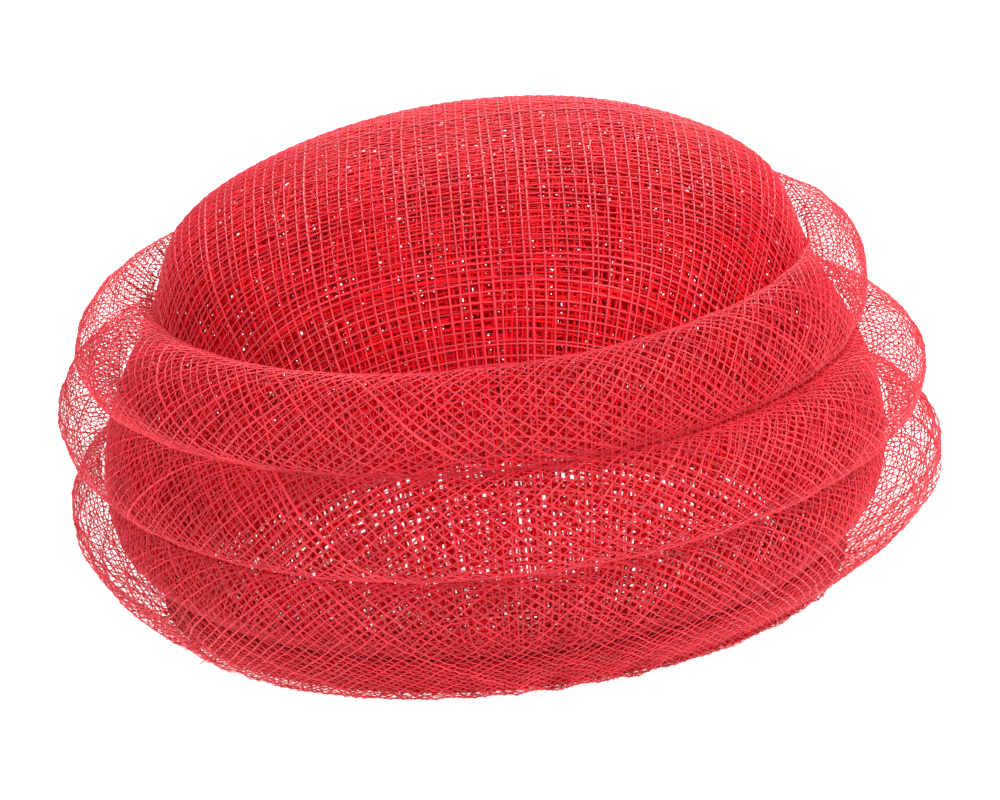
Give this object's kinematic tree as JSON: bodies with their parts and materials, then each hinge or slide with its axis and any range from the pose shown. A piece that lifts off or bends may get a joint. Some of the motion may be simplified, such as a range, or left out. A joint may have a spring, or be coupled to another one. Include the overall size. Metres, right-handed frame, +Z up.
{
  "type": "fascinator headpiece",
  "caption": "Red sinamay fascinator: a blocked straight-grain cap ringed by puffed bias rolls, with wired bound rim, head ribbon and hinging hair comb.",
  "frame": {"origin": "centre of the face that the rim stands on, at the bottom of the bottom roll", "axes": "+Z up through the top of the dome, -Y towards the front of the hat, where the comb is, +X to the right as seen from the front"},
  "size_m": [0.1952, 0.1955, 0.1035],
  "materials": {
    "sinamay_crown": "stiffened open straight-grain weave, slight sheen",
    "sinamay_lining": "stiffened open straight-grain weave, slight sheen",
    "sinamay_drape": "soft open bias weave, slight sheen",
    "sinamay_binding": "bias weave folded double",
    "petersham": "ribbed matt ribbon",
    "bow_ribbon": "narrow ribbed ribbon",
    "thread": "twisted sewing thread",
    "elastic_thread": "thick buttonhole thread",
    "wire_cover": "cotton-covered millinery wire",
    "ferrule": "crimped tube",
    "comb_plastic": "moulded, polished"
  },
  "bodies": {
    "hat": {"crown_outer": "sinamay_crown", "crown_inner": "sinamay_lining", "drape_roll_top": "sinamay_drape", "drape_roll_middle": "sinamay_drape", "drape_roll_bottom": "sinamay_drape", "rim_wire": "wire_cover", "wire_joiner": "ferrule", "rim_binding": "sinamay_binding", "head_ribbon": "petersham", "ribbon_stitches": "thread", "crease_stitches_top": "thread", "crease_stitches_upper": "thread", "crease_stitches_lower": "thread", "roll_join_stitches": "thread", "comb_stitches": "thread", "elastic_loop_left": "elastic_thread", "elastic_loop_right": "elastic_thread", "ribbon_bow": "bow_ribbon"},
    "comb": {"comb": "comb_plastic"}
  },
  "joints": [
    {"name": "comb_hinge", "type": "hinge", "parent": "hat", "child": "comb", "pos_m": [0, -0.06633, 0.008], "axis": [1, 0, 0], "range_deg": [0, 60]}
  ]
}
